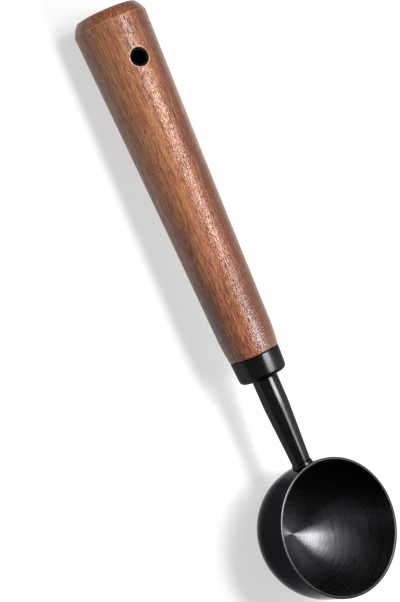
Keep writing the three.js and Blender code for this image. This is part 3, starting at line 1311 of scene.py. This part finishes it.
@dataclass
class HoleSleeve:
    """The plain tube that lines the hanging hole, with broken edges.

    Attributes:
        axis: Axis of the hanging hole.
        wall: Thickness of the tube.
        edge: Length cut from each side of its edges.
        facets: Facets in a full turn.
    """

    axis: Axis
    wall: float = 0.5
    edge: float = 0.12
    facets: int = 72

    # Blackened and not polished: the hole reads as black, with faint grey streaks
    FINISH = BlackSteel(
        "blackened steel tube, drawn", colours=("#09090a", "#0f0f11"), edge_tint="#606064",
        roughness=(0.42, 0.58), marks=Marks.LENGTHWISE, mark_width=0.25, mark_depth=0.004,
    )

    def build(self) -> bpy.types.Object:
        """Makes the sleeve and dresses it."""
        low, high = self.axis.stations("hole_sleeve")
        outer = self.axis.reach("hole_sleeve")
        inner = outer - self.wall
        corners = [(inner, low), (outer, low), (outer, high), (inner, high)]
        profile = [
            point
            for number, corner in enumerate(corners)
            for point in eased(
                corner, corners[number - 1], corners[(number + 1) % len(corners)], self.edge
            )
        ]
        shape = revolve(profile, self.facets, closed=True)
        return make_piece(
            shape, "sleeve_tube", "hole_sleeve", self.axis, [self.FINISH]
        )


@dataclass
class HangerBolt:
    """The hidden bolt: a machine thread for the neck, and a coarse wood thread for the handle.

    Attributes:
        axis: Axis of the handle.
        fine_pitch: Pitch of the machine thread.
        coarse_pitch: Pitch of the wood thread.
        plain: Length of the plain part between them.
        point_length: Length of the tapered point.
        point_diameter: Diameter at its end.
        chamfer: Chamfer at the start of the machine thread.
        facets: Facets in a full turn.
        rows_per_turn: Rows of corners in one turn of the machine thread.
    """

    axis: Axis
    fine_pitch: float = 0.8
    coarse_pitch: float = 2.0
    plain: float = 4.0
    point_length: float = 6.0
    point_diameter: float = 1.4
    chamfer: float = 0.6
    facets: int = 32
    rows_per_turn: int = 8

    THREAD_DEPTH = 0.3    # in pitches
    CORE = 0.4            # greatest depth of a thread, in the bolt's radius there

    # Plated after rolling: a pale bluish glint on each crest
    FINISH = ZincPlate("zinc-plated steel, thread rolled")

    def build(self) -> bpy.types.Object:
        """Makes the bolt and dresses it."""
        low, high = self.axis.stations("hanger_bolt")
        radius = self.axis.reach("hanger_bolt")
        neck_top = self.axis.stations("neck")[1]
        rows = np.arange(low, high, self.fine_pitch / self.rows_per_turn).tolist() + [high]
        shape = Shape()
        rings = [shape.ring([(0, 0, low)])]
        for height in rows:
            full = min(
                radius,
                radius - self.chamfer + (height - low),
                self.point_diameter / 2
                + (radius - self.point_diameter / 2) * (high - height) / self.point_length,
            )
            pitch = self.fine_pitch if height < neck_top else self.coarse_pitch
            smooth = neck_top <= height < neck_top + self.plain
            depth = 0.0 if smooth else self.THREAD_DEPTH * pitch
            rings.append(shape.ring(
                self.thread_point(turn, height, full, pitch, depth)
                for turn in full_turn(self.facets)
            ))
        rings.append(shape.ring([(0, 0, high)]))
        for first, second in zip(rings, rings[1:]):
            shape.band(first, second)
        return make_piece(
            shape, "bolt_threaded", "hanger_bolt", self.axis, [self.FINISH]
        )

    def thread_point(
        self, turn: float, height: float, full: float, pitch: float, depth: float
    ) -> Point:
        """Finds a point on a thread.

        Args:
            turn: Angle round the bolt.
            height: Station along the bolt.
            full: Radius over the thread's crests.
            pitch: Rise of the thread in one turn.
            depth: Depth of the thread.

        Returns:
            The point.
        """
        phase = (height / pitch - turn / (2 * math.pi)) % 1
        radius = full - min(depth, full * self.CORE) * (1 - abs(2 * phase - 1))
        return polar(radius, turn, height)


@dataclass(frozen=True)
class Softbox:
    """A rectangular lamp that hangs over the scoop, long side along the handle.

    Attributes:
        name: Name of the lamp.
        lean: Degrees from straight up towards -Y.
        centre: Place of its middle along X.
        distance: Distance of its middle from the handle.
        width: Width across the handle.
        length: Length along the handle.
        brightness: Radiance; 1 would look white.
    """

    name: str
    lean: float
    centre: float
    distance: float
    width: float
    length: float
    brightness: float

    AIM = Vector((0, 0, 15))    # point that the lamps' distances are counted from

    def build(self) -> bpy.types.Object:
        """Hangs the lamp and returns it."""
        lean = math.radians(self.lean)
        back = Vector((0, -math.sin(lean), math.cos(lean)))
        lamp = bpy.data.lights.new(self.name, "AREA")
        lamp.shape = "RECTANGLE"
        lamp.size = self.length * MM
        lamp.size_y = self.width * MM
        lamp.energy = self.brightness * math.pi * lamp.size * lamp.size_y
        holder = bpy.data.objects.new(self.name, lamp)
        holder.visible_camera = False
        place = self.AIM + back * self.distance + Vector((self.centre, 0, 0))
        along = Vector((1, 0, 0))
        turn = Matrix((along, back.cross(along), back)).transposed().to_4x4()
        holder.matrix_world = Matrix.Translation(place * MM) @ turn
        bpy.context.scene.collection.objects.link(holder)
        return holder


@dataclass
class Studio:
    """A pale floor, soft lamps overhead and a dim room.

    The key gives the handle's highlight and the fan in the bowl. The two strips carry it on down
    the neck, whose taper mirrors another part of the room. The cards lighten the neck's far half,
    the rim and the handle's end, and the side and fill softboxes are the even light.

    Attributes:
        floor_colour: Colour of the floor's paper.
        floor_glow: Light added to the floor where the camera or a reflection sees it.
        floor_size: Length of the floor's sides.
        room_colour: Colour of the room.
        room_brightness: Strength of the room's light.
        lamps: The lamps.
    """

    floor_colour: str = "#a2a2a2"
    floor_glow: float = 0.58
    floor_size: float = 6000.0
    room_colour: str = "#ffffff"
    room_brightness: float = 0.1
    lamps: tuple[Softbox, ...] = (
        Softbox("key_softbox", 10, 112, 700, 140, 320, 28.0),
        Softbox("neck_strip", 12, -44, 180, 88, 20, 43.0),
        Softbox("foot_strip", 12.2, -68, 123, 42, 28, 15.0),
        Softbox("neck_card", 56, -72, 100, 122, 72, 1.05),
        Softbox("rim_card", 32, -140, 700, 110, 110, 2.5),
        Softbox("far_card", 10, 430, 750, 220, 260, 4.0),
        Softbox("side_softbox", 60, 130, 800, 840, 1000, 0.65),
        Softbox("fill_softbox", -50, 20, 800, 1100, 800, 0.3),
    )

    def build(self) -> None:
        """Lays the floor, hangs the lamps and lights the room."""
        half = self.floor_size / 2 * MM
        mesh = bpy.data.meshes.new("floor")
        mesh.from_pydata(
            [(-half, -half, 0), (half, -half, 0), (half, half, 0), (-half, half, 0)], [],
            [(0, 1, 2, 3)],
        )
        mesh.materials.append(self.floor_material())
        floor = bpy.data.objects.new("floor", mesh)
        bpy.context.scene.collection.objects.link(floor)
        for lamp in self.lamps:
            lamp.build()
        world = bpy.data.worlds.new("studio")
        world.use_nodes = True
        world.node_tree.nodes.clear()
        room = add_node(world.node_tree, "Background", inputs={
            "Color": linear(self.room_colour), "Strength": self.room_brightness,
        })
        add_node(world.node_tree, "OutputWorld", inputs={"Surface": room.outputs[0]})
        bpy.context.scene.world = world

    def floor_material(self) -> bpy.types.Material:
        """Makes the floor's matt paper.

        Returns:
            The Blender material.
        """
        material = bpy.data.materials.new("matt studio paper")
        material.use_nodes = True
        tree = material.node_tree
        tree.nodes.clear()
        paper = add_node(tree, "BsdfDiffuse", inputs={"Color": linear(self.floor_colour)})
        path = add_node(tree, "LightPath").outputs
        seen = path["Is Camera Ray"]
        for ray in ("Is Glossy Ray", "Is Transmission Ray"):
            seen = add_node(tree, "Math", {"operation": "MAXIMUM"}, {
                0: seen, 1: path[ray],
            }).outputs[0]
        strength = add_node(tree, "Math", {"operation": "MULTIPLY"}, {
            0: seen, 1: self.floor_glow,
        }).outputs[0]
        glow = add_node(tree, "Emission", inputs={"Strength": strength})
        white = add_node(tree, "AddShader", inputs={0: paper.outputs[0], 1: glow.outputs[0]})
        add_node(tree, "OutputMaterial", inputs={"Surface": white.outputs[0]})
        return material


@dataclass(frozen=True)
class PhotoCamera:
    """A camera where the photograph's stood, for a frame of 400 by 602 pixels.

    Attributes:
        aim: Point in the middle of the picture.
        distance: Distance of the camera from it.
        azimuth: Degrees from +X towards +Y in which the camera stands.
        elevation: Degrees above the table.
        roll: Degrees that the camera is rolled about its line of sight.
        lens: Focal length over a 36 mm sensor.
    """

    aim: Point = (4.991, 5.658, 9.951)
    distance: float = 480.0
    azimuth: float = 77.25
    elevation: float = 56.503
    roll: float = 79.023
    lens: float = 89.7

    NEAR = 10.0    # distance from which on the camera shows things

    def build(self) -> None:
        """Sets up the camera and makes it the scene's own."""
        turn, rise = math.radians(self.azimuth), math.radians(self.elevation)
        back = Vector((
            math.cos(turn) * math.cos(rise), math.sin(turn) * math.cos(rise), math.sin(rise),
        ))
        level = Vector((0, 0, 1)).cross(back).normalized()
        roll = Matrix.Rotation(math.radians(self.roll), 3, back)
        right = roll @ level
        facing = Matrix((right, back.cross(right), back)).transposed().to_4x4()
        data = bpy.data.cameras.new("photo_camera")
        data.lens = self.lens
        data.clip_start = self.NEAR * MM
        camera = bpy.data.objects.new("photo_camera", data)
        place = Vector(self.aim) + back * self.distance
        camera.matrix_world = Matrix.Translation(place * MM) @ facing
        bpy.context.scene.collection.objects.link(camera)
        bpy.context.scene.camera = camera


def main() -> None:
    """Builds the scoop, the studio and the camera."""
    logging.basicConfig(level=logging.INFO, format="%(name)s: %(message)s")
    layout = Layout()
    neck = Neck(layout.handle, layout.bowl)
    ferrule = Ferrule(layout.handle)
    pieces = (
        ScoopBowl(layout.bowl),
        neck,
        WeldBead(layout.handle, layout.bowl, neck),
        ferrule,
        HangerBolt(layout.handle),
        WoodHandle(layout.handle, layout.hole, ferrule),
        HoleSleeve(layout.hole),
    )
    for piece in pieces:
        piece.build()
    Studio().build()
    PhotoCamera().build()
    bpy.context.scene.view_settings.view_transform = "Standard"


if __name__ == "__main__":
    main()
